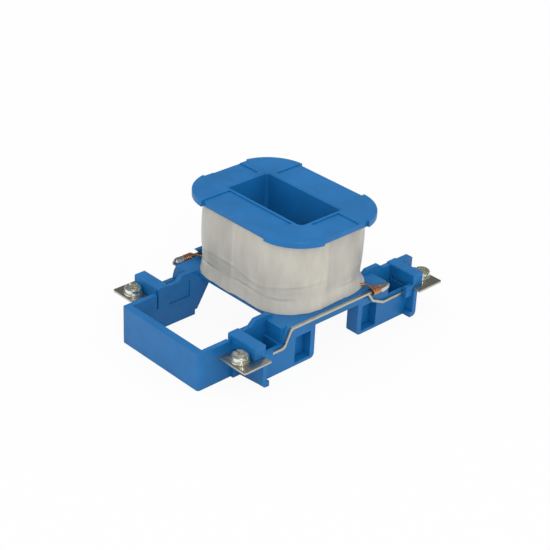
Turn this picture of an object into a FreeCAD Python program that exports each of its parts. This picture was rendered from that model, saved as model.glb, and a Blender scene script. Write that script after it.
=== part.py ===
import FreeCAD, Part
import math
import os
import Sketcher

# Operating coil of an AC contactor. Millimetres, +Z up. The origin is on the axis of the core slot,
# level with the underside of the frame. The box wall is towards -Y, the terminals to both sides.

SIZES = {
    # name: (value, what it is)
    "slot_len": (37.0, "core slot along X"),
    "slot_wid": (19.0, "core slot along Y"),
    "slot_corner": (1.2, "corner radius of the slot"),
    "slot_lead": (0.7, "chamfer at the mouth of the slot"),
    "tube_end_wall": (1.5, "tube wall at the ends of the slot"),
    "tube_side_wall": (2.2, "tube wall along the slot"),
    "tube_corner": (3.0, "outer corner radius of the tube"),
    "coil_top": (46.7, "top of the flange"),
    "flange_len": (60.4, "flange along X between its straight edges"),
    "flange_wid": (46.0, "flange along Y between its straight edges"),
    "flange_thick": (2.4, "flange thickness"),
    "flange_edge": (0.5, "rounding of the flange edge"),
    "lobe_out": (1.1, "how far the corner lobes stand out"),
    "lobe_corner": (16.5, "corner radius of the lobes"),
    "lobe_from_x": (15.8, "start of the lobes along X"),
    "lobe_from_y": (10.5, "start of the lobes along Y"),
    "panel_depth": (0.45, "panels sunk into the flange between the lobes"),
    "panel_rim": (1.7, "rim between the panels and the slot"),
    "panel_end": (6.5, "half width of the end panels"),
    "deck_height": (16.5, "top of the deck"),
    "deck_thick": (1.6, "deck thickness"),
    "deck_len": (58.2, "deck along X, over the leg faces"),
    "deck_wid": (51.0, "deck along Y at the risers"),
    "waist_wid": (47.6, "deck along Y between the arms"),
    "beam_drop": (2.0, "side beam below the deck"),
    "beam_wall": (1.5, "side beam thickness"),
    "box_reach": (55.3, "outer face of the box wall from the slot axis"),
    "box_wid": (40.2, "box over its arms"),
    "wall_height": (14.3, "box wall height"),
    "box_wall": (3.0, "box wall thickness"),
    "arm_wall": (1.9, "arm thickness"),
    "box_round": (1.0, "outer corners of the box"),
    "lip_drop": (0.5, "raised part of the arms below the deck top"),
    "lip_reach": (41.4, "end of the raised part"),
    "root_rise": (1.5, "arm roots above the deck top"),
    "root_reach": (30.0, "end of the arm roots"),
    "root_slope": (2.2, "run of the slope beside a root"),
    "arm_foot": (26.0, "end of the straight underside of an arm"),
    "arm_end": (23.0, "end of an arm above its step"),
    "arm_step": (2.0, "step in the underside of an arm"),
    "arm_sweep": (7.8, "run of the slanted end of an arm"),
    "groove_deep": (0.9, "groove in the inner face of an arm"),
    "groove_near": (39.8, "near side of the groove"),
    "groove_wid": (1.7, "width of the groove"),
    "groove_low": (8.5, "lower end of the groove and of the sunk panel"),
    "panel_sunk": (0.4, "panel sunk into the inner face of an arm"),
    "panel_from": (26.5, "near end of the sunk panel"),
    "rear_reach": (46.5, "end of the rear arms"),
    "leg_near": (10.5, "inner end of a leg"),
    "leg_deep": (5.1, "depth of a leg from its outer face"),
    "leg_wall": (1.5, "inner wall of the legs and outer wall of the wells"),
    "platform_height": (10.7, "top of the terminal platforms"),
    "well_floor": (4.5, "floor of the well in a platform"),
    "well_ledge": (1.0, "ledge between a well and its riser"),
    "riser_wall": (1.5, "riser between platform and deck"),
    "window_near": (12.6, "leg window, end next to the slot"),
    "window_far": (19.9, "leg window, far end"),
    "window_low": (1.2, "leg window, lower edge"),
    "window_high": (11.4, "leg window, upper edge"),
    "barrier_thick": (4.8, "barrier between a screw and its well"),
    "barrier_past": (2.5, "barrier past the side face"),
    "plate_back": (3.2, "end plate behind the face of the barrier"),
    "plate_thick": (1.8, "end plate of a platform"),
    "plate_past": (3.4, "end plate past the side face"),
    "foot_thick": (3.0, "foot of the end plate"),
    "foot_tall": (2.0, "height of the foot"),
    "guard_reach": (3.5, "guard over the strip, from the barrier"),
    "guard_low": (8.5, "lower edge of the guard"),
    "guard_high": (12.7, "upper edge of the guard"),
    "guide_wid": (1.5, "thickness of the lead guide"),
    "guide_near": (8.4, "near end of the lead guide"),
    "guide_far": (12.8, "far end of the lead guide"),
    "guide_tall": (2.7, "height of the lead guide above the deck"),
    "fit": (0.1, "clearance between pieces that seat"),
    "wire_build_x": (5.3, "build of the winding at the slot ends"),
    "wire_build_y": (9.6, "build of the winding along the slot"),
    "wire_corner": (14.0, "corner radius of the winding"),
    "tape_thick": (0.5, "wrap thickness at its two ends"),
    "tape_crown": (0.9, "extra build of the wrap at mid height"),
    "sheet": (0.8, "terminal sheet thickness"),
    "tab_gap": (1.6, "gap between an arm and the tab beside it"),
    "tab_inner": (6.5, "tab from the screw axis to its inner edge"),
    "tab_outer": (6.6, "tab from the screw axis to its outer edge"),
    "tab_front": (3.8, "tab from the screw axis to its free end"),
    "tab_cover": (0.2, "barrier past the covered end of a tab"),
    "tab_play": (0.4, "play between a tab and the posts beside it"),
    "tab_corner": (0.6, "corner radius of a tab"),
    "strip_tall": (1.0, "height of the side strip"),
    "strip_proud": (0.2, "side strip above the deck"),
    "strip_sunk": (0.3, "side strip below the platforms"),
    "bend_near": (22.9, "upper end of the front bend"),
    "bend_far": (26.0, "lower end of the front bend"),
    "dip_near": (14.2, "start of the rear bend"),
    "dip_knee": (17.2, "knee of the rear bend"),
    "dip_fall": (3.8, "fall from the start of the rear bend to its knee"),
    "dip_far": (22.5, "lower end of the rear bend"),
    "bend_round": (1.6, "radius of the bends"),
    "jog_back": (0.9, "rise to the tab, from the end plate"),
    "prong_end": (25.0, "end of the solder prong"),
    "screw_y": (44.2, "screw axis along Y"),
    "thread_dia": (3.5, "screw thread"),
    "thread_play": (0.1, "play of the thread in its collar"),
    "thread_past": (0.9, "thread end below the tab collar"),
    "collar_dia": (5.4, "collar drawn down from a tab"),
    "collar_tall": (0.8, "height of the collar"),
    "head_dia": (6.0, "screw head"),
    "head_tall": (2.1, "screw head height"),
    "head_edge": (0.5, "chamfer of the screw head"),
    "slot_cut": (0.9, "width of the driver slot"),
    "slot_deep": (1.0, "depth of the driver slot"),
    "cross_len": (3.4, "length of the cross recess"),
    "washer_dia": (6.6, "clamp washer"),
    "washer_thick": (0.9, "clamp washer thickness"),
    "lead_dia": (0.8, "winding wire"),
    "wrap_from": (16.2, "first turn of the lead on its prong"),
    "wrap_turns": (4.0, "turns of the lead on its prong"),
    "solder_len": (3.9, "length of the solder"),
    "solder_dia": (3.3, "diameter of the solder"),
}

doc = FreeCAD.newDocument("ContactorCoil")
sheet = doc.addObject("Spreadsheet::Sheet", "Sizes")
for row, (name, (value, note)) in enumerate(SIZES.items(), start=1):
    sheet.set(f"A{row}", name)
    sheet.set(f"B{row}", str(value))
    sheet.setAlias(f"B{row}", name)
    sheet.set(f"C{row}", note)
doc.recompute()


class Size:
    """A length with its formula, so that a sketch can be bound to the sheet."""

    def __init__(self, text, value):
        self.text = text
        self.value = value

    def join(self, sign, other, value):
        other = other if isinstance(other, Size) else Size(str(other), other)
        return Size(f"({self.text} {sign} {other.text})", value)

    def __add__(self, other):
        return self.join("+", other, self.value + number(other))

    def __sub__(self, other):
        return self.join("-", other, self.value - number(other))

    def __mul__(self, other):
        return self.join("*", other, self.value * number(other))

    def __truediv__(self, other):
        return self.join("/", other, self.value / number(other))

    def __neg__(self):
        return Size(f"(0 - {self.text})", -self.value)

    def root(self):
        return Size(f"sqrt({self.text})", math.sqrt(self.value))


def number(size):
    return size.value if isinstance(size, Size) else float(size)


S = {name: Size(f"Sizes.{name}", value) for name, (value, note) in SIZES.items()}
ZERO = Size("0", 0.0)


# Lengths that several pieces share
SIDE = S["deck_len"] / 2
ARM_OUT = S["box_wid"] / 2
ARM_IN = ARM_OUT - S["arm_wall"]
RISER = S["deck_wid"] / 2
DECK_UNDER = S["deck_height"] - S["deck_thick"]
FLANGE_UNDER = S["coil_top"] - S["flange_thick"]
TUBE_X = S["slot_len"] / 2 + S["tube_end_wall"]
TUBE_Y = S["slot_wid"] / 2 + S["tube_side_wall"]
WIRE_X = TUBE_X + S["fit"] + S["wire_build_x"]
WIRE_Y = TUBE_Y + S["fit"] + S["wire_build_y"]
LIP_TOP = S["deck_height"] - S["lip_drop"]
ROOT_TOP = S["deck_height"] + S["root_rise"]
STRIP_IN = SIDE + S["fit"]
STRIP_OUT = STRIP_IN + S["sheet"]
STRIP_TOP = S["deck_height"] + S["strip_proud"]
STRIP_LOW = S["platform_height"] - S["strip_sunk"]
PRONG_X = (STRIP_IN + STRIP_OUT) / 2
PRONG_Z = STRIP_TOP - S["strip_tall"] / 2
NOTCH_IN = PRONG_X - S["solder_dia"] / 2 - S["fit"]
NOTCH_NEAR = S["guide_far"] + S["fit"]
SCREW_Y = S["screw_y"]
BARRIER_FAR = SCREW_Y - S["washer_dia"] / 2 - S["fit"]
BARRIER_NEAR = BARRIER_FAR - S["barrier_thick"]
BARRIER_OUT = SIDE + S["barrier_past"]
PLATE_FAR = BARRIER_FAR - S["plate_back"]
PLATE_NEAR = PLATE_FAR - S["plate_thick"]
PLATE_OUT = SIDE + S["plate_past"]
TAB_UNDER = S["platform_height"] + S["fit"]
TAB_TOP = TAB_UNDER + S["sheet"]
TAB_IN = ARM_OUT + S["tab_gap"]
SCREW_X = TAB_IN + S["tab_inner"]
TAB_OUT = SCREW_X + S["tab_outer"]
TAB_NEAR = BARRIER_NEAR + S["tab_cover"]
TAB_FAR = SCREW_Y + S["tab_front"]
POST_OUT = TAB_IN - S["tab_play"]


def new_body(name):
    body = doc.addObject("PartDesign::Body", name)
    body.Label = name
    return body


def new_sketch(body, name, plane, offset):
    sketch = body.newObject("Sketcher::SketchObject", name)
    role = plane + "_Plane"
    support = next(item for item in body.Origin.OriginFeatures if item.Role == role)
    sketch.AttachmentSupport = [(support, "")]
    sketch.MapMode = "FlatFace"
    sketch.setExpression("AttachmentOffset.Base.z", offset.text)
    return sketch


def pin(sketch, geometry, end, kind, size):
    index = sketch.addConstraint(Sketcher.Constraint(kind, -1, 1, geometry, end, size.value))
    sketch.setExpression(f"Constraints[{index}]", size.text)


def outline(sketch, corners):
    """Closed outline. A corner is (x, y), or (x, y, radius) where an arc leads to the next one.

    A positive radius turns left on the way round, a negative one turns right.
    """
    lines = []
    for here, after in zip(corners, corners[1:] + corners[:1]):
        start = FreeCAD.Vector(here[0].value, here[1].value, 0)
        stop = FreeCAD.Vector(after[0].value, after[1].value, 0)
        if len(here) == 2:
            edge = Part.LineSegment(start, stop)
        else:
            edge = bulge(start, stop, here[2].value)
        lines.append(sketch.addGeometry(edge, False))
    for index, corner in enumerate(corners):
        line = lines[index]
        back = lines[index - 1]
        turned = len(corner) == 3 and corner[2].value < 0
        back_turned = len(corners[index - 1]) == 3 and corners[index - 1][2].value < 0
        first = 2 if turned else 1
        last = 1 if back_turned else 2
        sketch.addConstraint(Sketcher.Constraint("Coincident", back, last, line, first))
        pin(sketch, line, first, "DistanceX", corner[0])
        pin(sketch, line, first, "DistanceY", corner[1])
        if len(corner) == 3:
            radius = -corner[2] if turned else corner[2]
            index = sketch.addConstraint(Sketcher.Constraint("Radius", line, radius.value))
            sketch.setExpression(f"Constraints[{index}]", radius.text)


def bulge(start, stop, radius):
    """Arc of the given radius between two points, always counter-clockwise in its sketch."""
    chord = stop - start
    middle = (start + stop) / 2
    rise = math.sqrt(max(radius * radius - chord.Length * chord.Length / 4, 0.0))
    left = FreeCAD.Vector(-chord.y, chord.x, 0) / chord.Length
    centre = middle + left * (rise if radius > 0 else -rise)
    first = math.atan2(start.y - centre.y, start.x - centre.x)
    last = math.atan2(stop.y - centre.y, stop.x - centre.x)
    if radius < 0:
        first, last = last, first
    circle = Part.Circle(centre, FreeCAD.Vector(0, 0, 1), abs(radius))
    return Part.ArcOfCircle(circle, first, last)


def box_outline(sketch, x0, x1, y0, y1):
    outline(sketch, [(x0, y0), (x1, y0), (x1, y1), (x0, y1)])


def rounded_outline(sketch, half_x, half_y, corner):
    near_x = half_x - corner
    near_y = half_y - corner
    outline(sketch, [
        (-near_x, -half_y), (near_x, -half_y, corner),
        (half_x, -near_y), (half_x, near_y, corner),
        (near_x, half_y), (-near_x, half_y, corner),
        (-half_x, near_y), (-half_x, -near_y, corner),
    ])


def ring(sketch, radius, x, y):
    circle = Part.Circle(FreeCAD.Vector(x.value, y.value, 0), FreeCAD.Vector(0, 0, 1), radius.value)
    index = sketch.addGeometry(circle, False)
    pin(sketch, index, 3, "DistanceX", x)
    pin(sketch, index, 3, "DistanceY", y)
    number_of = sketch.addConstraint(Sketcher.Constraint("Radius", index, radius.value))
    sketch.setExpression(f"Constraints[{number_of}]", radius.text)


def pad(body, sketch, length):
    feature = body.newObject("PartDesign::Pad", sketch.Name + "Pad")
    feature.Profile = sketch
    feature.setExpression("Length", length.text)
    return feature


def pocket(body, sketch, length, upwards):
    feature = body.newObject("PartDesign::Pocket", sketch.Name + "Pocket")
    feature.Profile = sketch
    feature.setExpression("Length", length.text)
    feature.Reversed = upwards
    return feature


def fillet(body, name, base_feature, radius, wanted):
    """Round the edges of the feature that the test picks."""
    doc.recompute()
    edges = [f"Edge{i}" for i, edge in enumerate(base_feature.Shape.Edges, 1) if wanted(edge)]
    feature = body.newObject("PartDesign::Fillet", name)
    feature.Base = (base_feature, edges)
    feature.setExpression("Radius", radius.text)
    return feature


def close(a, b):
    return abs(a - b) < 1e-4


def upright_at(edge, x, y):
    box = edge.BoundBox
    return (box.ZLength > 0.1 and close(box.XLength, 0) and close(box.YLength, 0)
            and close(abs(box.XMin), x) and close(abs(box.YMin), y))


def across(edge):
    """True for an edge that runs along X."""
    box = edge.BoundBox
    return box.YLength < 1e-6 and box.ZLength < 1e-6


def flat_at(edge, z):
    return close(edge.BoundBox.ZMin, z) and close(edge.BoundBox.ZMax, z)


def mirror_x(body, name, features):
    """The same features on the other side of the slot."""
    support = next(item for item in body.Origin.OriginFeatures if item.Role == "YZ_Plane")
    feature = body.newObject("PartDesign::Mirrored", name)
    feature.Originals = features
    feature.MirrorPlane = (support, [""])
    body.Tip = feature
    return feature


def place(body, x, y, z):
    body.setExpression("Placement.Base.x", x.text)
    body.setExpression("Placement.Base.y", y.text)
    body.setExpression("Placement.Base.z", z.text)


def tube_and_flange(body):
    sketch = new_sketch(body, "Deck", "XY", DECK_UNDER)
    half = S["waist_wid"] / 2
    outline(sketch, [
        (-SIDE, -RISER), (-ARM_IN, -RISER), (-ARM_IN, -half), (ARM_IN, -half),
        (ARM_IN, -RISER), (SIDE, -RISER), (SIDE, RISER), (ARM_IN, RISER),
        (ARM_IN, half), (-ARM_IN, half), (-ARM_IN, RISER), (-SIDE, RISER),
    ])
    pad(body, sketch, S["deck_thick"])

    sketch = new_sketch(body, "Tube", "XY", DECK_UNDER)
    rounded_outline(sketch, TUBE_X, TUBE_Y, S["tube_corner"])
    pad(body, sketch, S["coil_top"] - DECK_UNDER)

    sketch = new_sketch(body, "Flange", "XY", FLANGE_UNDER)
    half_x = S["flange_len"] / 2
    half_y = S["flange_wid"] / 2
    rounded_outline(sketch, half_x + S["lobe_out"], half_y + S["lobe_out"], S["lobe_corner"])
    pad(body, sketch, S["flange_thick"])

    # The straight edges lie back from the corner lobes
    sketch = new_sketch(body, "FlangeSides", "XY", S["coil_top"])
    past = S["lobe_out"] * 2
    for side in (1, -1):
        box_outline(sketch, half_x * side, (half_x + past) * side,
                    -S["lobe_from_y"], S["lobe_from_y"])
        box_outline(sketch, -S["lobe_from_x"], S["lobe_from_x"],
                    half_y * side, (half_y + past) * side)
    sides = pocket(body, sketch, S["flange_thick"], False)

    top = number(S["coil_top"])
    return fillet(body, "FlangeEdge", sides, S["flange_edge"],
                  lambda edge: flat_at(edge, top) and edge.BoundBox.DiagonalLength > 2.0)


def flange_panels(body):
    """Shallow panels between the lobes, open to the edge of the flange."""
    sketch = new_sketch(body, "FlangePanels", "XY", S["coil_top"])
    near_x = S["slot_len"] / 2 + S["panel_rim"]
    near_y = S["slot_wid"] / 2 + S["panel_rim"]
    far_x = S["flange_len"] / 2 + S["lobe_out"]
    far_y = S["flange_wid"] / 2 + S["lobe_out"]
    for side in (1, -1):
        box_outline(sketch, near_x * side, far_x * side, -S["panel_end"], S["panel_end"])
        box_outline(sketch, -S["lobe_from_x"], S["lobe_from_x"], near_y * side, far_y * side)
    return pocket(body, sketch, S["panel_depth"], False)


def core_slot(body):
    sketch = new_sketch(body, "CoreSlot", "XY", S["coil_top"])
    rounded_outline(sketch, S["slot_len"] / 2, S["slot_wid"] / 2, S["slot_corner"])
    depth = S["coil_top"] - DECK_UNDER
    cut = pocket(body, sketch, depth, False)
    doc.recompute()
    top = number(S["coil_top"])
    reach = number(S["slot_len"]) / 2 + 0.01
    edges = []
    for index, edge in enumerate(cut.Shape.Edges, 1):
        if flat_at(edge, top) and edge.BoundBox.XMax <= reach and edge.BoundBox.XMin >= -reach:
            if edge.BoundBox.YMax <= number(S["slot_wid"]) / 2 + 0.01:
                if edge.BoundBox.YMin >= -number(S["slot_wid"]) / 2 - 0.01:
                    edges.append(f"Edge{index}")
    feature = body.newObject("PartDesign::Chamfer", "SlotMouth")
    feature.Base = (cut, edges)
    feature.setExpression("Size", S["slot_lead"].text)
    return feature


def arm_profile(body, name, points):
    """Side view of an arm, drawn along Y and Z at the arm's inner face."""
    sketch = new_sketch(body, name, "YZ", ARM_IN)
    outline(sketch, [(y, z) for y, z in points])
    return pad(body, sketch, S["arm_wall"])


def arms(body):
    under = DECK_UNDER
    root = S["root_reach"]
    slope = root + S["root_slope"]
    wall = -S["box_reach"] + S["box_wall"]
    front = arm_profile(body, "FrontArm", [
        (wall, ZERO), (-S["arm_foot"], ZERO), (-S["arm_foot"], S["arm_step"]),
        (-S["arm_end"], S["arm_step"]), (-S["arm_end"] + S["arm_sweep"], under),
        (-S["waist_wid"] / 2 + S["arm_wall"], under),
        (-S["waist_wid"] / 2 + S["arm_wall"], S["deck_height"]),
        (-S["waist_wid"] / 2, ROOT_TOP), (-root, ROOT_TOP),
        (-slope, LIP_TOP), (-S["lip_reach"], LIP_TOP),
        (-S["lip_reach"], S["wall_height"]), (wall, S["wall_height"]),
    ])
    rear = arm_profile(body, "RearArm", [
        (S["rear_reach"], ZERO), (S["rear_reach"], LIP_TOP),
        (slope, LIP_TOP), (root, ROOT_TOP),
        (S["waist_wid"] / 2, ROOT_TOP),
        (S["waist_wid"] / 2 - S["arm_wall"], S["deck_height"]),
        (S["waist_wid"] / 2 - S["arm_wall"], under),
        (S["arm_end"] - S["arm_sweep"], under), (S["arm_end"], S["arm_step"]),
        (S["arm_foot"], S["arm_step"]), (S["arm_foot"], ZERO),
    ])
    sketch = new_sketch(body, "RearPost", "XY", ZERO)
    box_outline(sketch, ARM_IN, POST_OUT, BARRIER_NEAR, S["rear_reach"])
    post = pad(body, sketch, LIP_TOP)
    groove_far = S["groove_near"] + S["groove_wid"]
    sketch = new_sketch(body, "ArmGroove", "YZ", ARM_IN)
    box_outline(sketch, -groove_far, -S["groove_near"], S["groove_low"], ROOT_TOP)
    groove = pocket(body, sketch, S["groove_deep"], True)
    sketch = new_sketch(body, "ArmPanel", "YZ", ARM_IN)
    box_outline(sketch, -S["groove_near"], -S["panel_from"], S["groove_low"], DECK_UNDER)
    panel = pocket(body, sketch, S["panel_sunk"], True)
    return [front, rear, post, groove, panel]


def box_front(body):
    sketch = new_sketch(body, "BoxWall", "XY", ZERO)
    corner = S["box_round"]
    face = -S["box_reach"]
    inside = face + S["box_wall"]
    outline(sketch, [
        (-ARM_OUT + corner, face), (ARM_OUT - corner, face, corner),
        (ARM_OUT, face + corner), (ARM_OUT, inside), (-ARM_OUT, inside),
        (-ARM_OUT, face + corner, corner),
    ])
    return pad(body, sketch, S["wall_height"])


def legs(body):
    made = []
    near = RISER - S["riser_wall"]
    leg_in = SIDE - S["leg_deep"]
    wall = S["leg_wall"]
    sketch = new_sketch(body, "Legs", "XY", ZERO)
    for side in (1, -1):
        box_outline(sketch, leg_in, SIDE, S["leg_near"] * side, RISER * side)
    made.append(pad(body, sketch, DECK_UNDER))

    sketch = new_sketch(body, "Platforms", "XY", ZERO)
    for side in (1, -1):
        box_outline(sketch, ARM_IN, SIDE, near * side, PLATE_FAR * side)
    made.append(pad(body, sketch, S["platform_height"]))

    sketch = new_sketch(body, "Risers", "XY", S["platform_height"])
    for side in (1, -1):
        box_outline(sketch, ARM_IN, SIDE, near * side, RISER * side)
    made.append(pad(body, sketch, S["deck_height"] - S["platform_height"]))

    sketch = new_sketch(body, "Beams", "XY", DECK_UNDER - S["beam_drop"])
    box_outline(sketch, SIDE - S["beam_wall"], SIDE, -S["leg_near"] - wall, S["leg_near"] + wall)
    made.append(pad(body, sketch, S["beam_drop"]))

    sketch = new_sketch(body, "Wells", "XY", S["platform_height"])
    for side in (1, -1):
        box_outline(sketch, ARM_OUT, SIDE - wall, (RISER + S["well_ledge"]) * side,
                    PLATE_NEAR * side)
    made.append(pocket(body, sketch, S["platform_height"] - S["well_floor"], False))

    sketch = new_sketch(body, "LegRecesses", "YZ", SIDE)
    for side in (1, -1):
        box_outline(sketch, S["window_near"] * side, S["window_far"] * side,
                    S["window_low"], S["window_high"])
    made.append(pocket(body, sketch, S["leg_deep"] - wall, False))
    return made


def end_plates(body):
    """Plates that end the platforms and stand past the side faces, each on a thicker foot."""
    made = []
    for name, thick, height in (("EndPlates", S["plate_thick"], S["platform_height"]),
                                ("Feet", S["foot_thick"], S["foot_tall"])):
        sketch = new_sketch(body, name, "XY", ZERO)
        for side in (1, -1):
            box_outline(sketch, SIDE - S["leg_wall"], PLATE_OUT, (PLATE_FAR - thick) * side,
                        PLATE_FAR * side)
        made.append(pad(body, sketch, height))
    return made


def barriers(body):
    """Blocks between the screws and the wells, with a guard over the strip."""
    made = []
    under = TAB_TOP + S["fit"]
    sketch = new_sketch(body, "Barriers", "XY", under)
    for side in (1, -1):
        box_outline(sketch, ARM_IN, BARRIER_OUT, BARRIER_NEAR * side, BARRIER_FAR * side)
    made.append(pad(body, sketch, S["deck_height"] - under))
    sketch = new_sketch(body, "BarrierFeet", "XY", ZERO)
    for side in (1, -1):
        box_outline(sketch, ARM_IN, POST_OUT, BARRIER_NEAR * side, BARRIER_FAR * side)
    made.append(pad(body, sketch, S["deck_height"]))
    sketch = new_sketch(body, "StripGuards", "XY", S["guard_low"])
    for side in (1, -1):
        box_outline(sketch, STRIP_OUT + S["fit"], BARRIER_OUT,
                    (BARRIER_NEAR - S["guard_reach"]) * side, BARRIER_NEAR * side)
    made.append(pad(body, sketch, S["guard_high"] - S["guard_low"]))
    return made


def strip_bed(body):
    """Outer corner of the deck, lowered along the front bend of the strip."""
    sketch = new_sketch(body, "StripBed", "YZ", SIDE)
    top = S["deck_height"]
    low = S["platform_height"]
    drop = top - low
    near = S["bend_near"]
    run = S["bend_far"] - S["bend_near"]
    past = RISER + S["leg_wall"]
    outline(sketch, [(-y, z) for y, z in (
        (near - run * 0.2, top + drop * 0.1), (near, top), (near + run * 0.35, top - drop * 0.15),
        (near + run * 0.65, top - drop * 0.5), (near + run * 0.85, top - drop * 0.85),
        (past, low), (past, top + drop * 0.1))])
    return pocket(body, sketch, S["leg_wall"], False)


def lead_guide(body):
    """Upright guide beside the lead at the front left."""
    sketch = new_sketch(body, "Guide", "XY", S["deck_height"])
    box_outline(sketch, -SIDE, -SIDE + S["guide_wid"], -S["guide_far"], -S["guide_near"])
    return pad(body, sketch, S["guide_tall"])


def joint_notch(name, corner_x, corner_y):
    """Notch in the deck edge that leaves room for a solder joint."""
    tool = doc.addObject("Part::Box", name)
    tool.setExpression("Length", (SIDE + S["sheet"] - NOTCH_IN).text)
    tool.setExpression("Width", (S["prong_end"] + S["sheet"] - NOTCH_NEAR).text)
    tool.setExpression("Height", S["solder_dia"].text)
    place(tool, corner_x, corner_y, PRONG_Z - S["solder_dia"] / 2 - S["fit"])
    return tool


def leg_gap():
    """The legs on the left reach less far towards each other."""
    tool = doc.addObject("Part::Box", "LegGap")
    reach = S["window_far"] + S["fit"]
    margin = S["sheet"]
    tool.setExpression("Length", (S["leg_deep"] + margin * 2).text)
    tool.setExpression("Width", (reach * 2).text)
    tool.setExpression("Height", (DECK_UNDER - S["beam_drop"] + margin).text)
    place(tool, -SIDE - margin, -reach, -margin)
    return tool


def bobbin_frame():
    body = new_body("bobbin_moulding")
    tube_and_flange(body)
    flange_panels(body)
    core_slot(body)
    box_front(body)
    lead_guide(body)
    right = legs(body) + end_plates(body) + arms(body) + barriers(body) + [strip_bed(body)]
    mirror_x(body, "OtherSide", right)
    reach = S["prong_end"] + S["sheet"]
    tools = [joint_notch("RightNotch", NOTCH_IN, NOTCH_NEAR),
             joint_notch("LeftNotch", -SIDE - S["sheet"], -reach), leg_gap()]
    shape = body
    for tool in tools:
        cut = doc.addObject("Part::Cut", tool.Name + "Cut")
        cut.Base = shape
        cut.Tool = tool
        shape = cut
    shape.Label = "bobbin_frame"
    return shape


def winding():
    body = new_body("winding")
    bottom = S["deck_height"] + S["fit"]
    height = FLANGE_UNDER - S["fit"] - bottom
    sketch = new_sketch(body, "Turns", "XY", bottom)
    rounded_outline(sketch, WIRE_X, WIRE_Y, S["wire_corner"])
    rounded_outline(sketch, TUBE_X + S["fit"], TUBE_Y + S["fit"], S["tube_corner"] + S["fit"])
    pad(body, sketch, height)
    return body


def tape_wrap():
    """Wrap round the winding, crowned at mid height."""
    body = new_body("tape_wrap")
    bottom = S["deck_height"] + S["fit"]
    height = FLANGE_UNDER - S["fit"] - bottom
    sections = []
    crowns = ((0.0, 0.0), (0.18, 0.62), (0.45, 1.0), (0.75, 0.9), (1.0, 0.45))
    for index, (share, crown) in enumerate(crowns):
        sketch = new_sketch(body, f"Wrap{index}", "XY", bottom + height * share)
        grown = S["fit"] + S["tape_thick"] + S["tape_crown"] * crown
        rounded_outline(sketch, WIRE_X + grown, WIRE_Y + grown, S["wire_corner"] + grown)
        sections.append(sketch)
    loft = body.newObject("PartDesign::AdditiveLoft", "WrapLoft")
    loft.Profile = sections[0]
    loft.Sections = sections[1:]
    loft.Ruled = True
    sketch = new_sketch(body, "WrapInside", "XY", bottom)
    gap = S["fit"]
    rounded_outline(sketch, WIRE_X + gap, WIRE_Y + gap, S["wire_corner"] + gap)
    body.Tip = pocket(body, sketch, height, True)
    return body


def side_strip(body):
    """Strip that follows the deck edge, with a bend at each end and a prong."""
    top = STRIP_TOP
    low = STRIP_LOW
    tall = S["strip_tall"]
    knee = top - S["dip_fall"]
    jog = PLATE_NEAR - S["jog_back"]
    inside = TAB_NEAR + tall
    sketch = new_sketch(body, "SideStrip", "YZ", STRIP_IN)
    outline(sketch, [
        (-inside, TAB_TOP), (-jog, TAB_TOP), (-jog + tall, low),
        (-S["bend_far"], low), (-S["bend_near"], top), (S["prong_end"], top),
        (S["prong_end"], top - tall), (S["dip_near"] + tall, top - tall),
        (S["dip_knee"], knee), (S["dip_far"], low), (jog - tall, low), (jog, TAB_TOP),
        (inside, TAB_TOP), (inside, TAB_UNDER), (jog + tall * 0.3, TAB_UNDER),
        (jog - tall * 0.7, low - tall), (S["dip_far"] - tall * 0.2, low - tall),
        (S["dip_knee"] - tall * 0.6, knee - tall * 0.8), (S["dip_near"], top - tall),
        (-S["bend_near"] + tall * 0.6, top - tall), (-S["bend_far"] + tall * 0.6, low - tall),
        (-jog + tall * 0.7, low - tall), (-jog - tall * 0.3, TAB_UNDER), (-inside, TAB_UNDER),
    ])
    strip = pad(body, sketch, S["sheet"])
    front = number(S["bend_near"]) - 1.0, number(S["bend_far"]) + 1.0
    rear = number(S["dip_knee"]) - 1.0, number(S["dip_far"]) + 1.0
    return fillet(body, "Bends", strip, S["bend_round"],
                  lambda edge: across(edge) and (front[0] < -edge.BoundBox.YMin < front[1]
                                                 or rear[0] < edge.BoundBox.YMin < rear[1]))


def terminal_strip(name, turned):
    body = new_body(name)
    side_strip(body)
    sketch = new_sketch(body, "Tabs", "XY", TAB_UNDER)
    for side in (1, -1):
        box_outline(sketch, TAB_IN, TAB_OUT, TAB_NEAR * side, TAB_FAR * side)
    tabs = pad(body, sketch, S["sheet"])
    sketch = new_sketch(body, "Collars", "XY", TAB_UNDER - S["collar_tall"])
    for side in (1, -1):
        ring(sketch, S["collar_dia"] / 2, SCREW_X, SCREW_Y * side)
    pad(body, sketch, S["collar_tall"])
    sketch = new_sketch(body, "Threads", "XY", TAB_TOP)
    for side in (1, -1):
        ring(sketch, (S["thread_dia"] + S["thread_play"]) / 2, SCREW_X, SCREW_Y * side)
    holes = pocket(body, sketch, S["sheet"] + S["collar_tall"], False)
    out_x = number(TAB_OUT)
    far_y = number(TAB_FAR)
    corners = fillet(body, "TabCorners", holes, S["tab_corner"],
                     lambda edge: upright_at(edge, out_x, far_y)
                     or upright_at(edge, number(TAB_IN), far_y))
    body.Tip = corners
    if turned:
        body.Placement = FreeCAD.Placement(FreeCAD.Vector(0, 0, 0),
                                           FreeCAD.Rotation(FreeCAD.Vector(0, 0, 1), 180))
    return body


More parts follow.
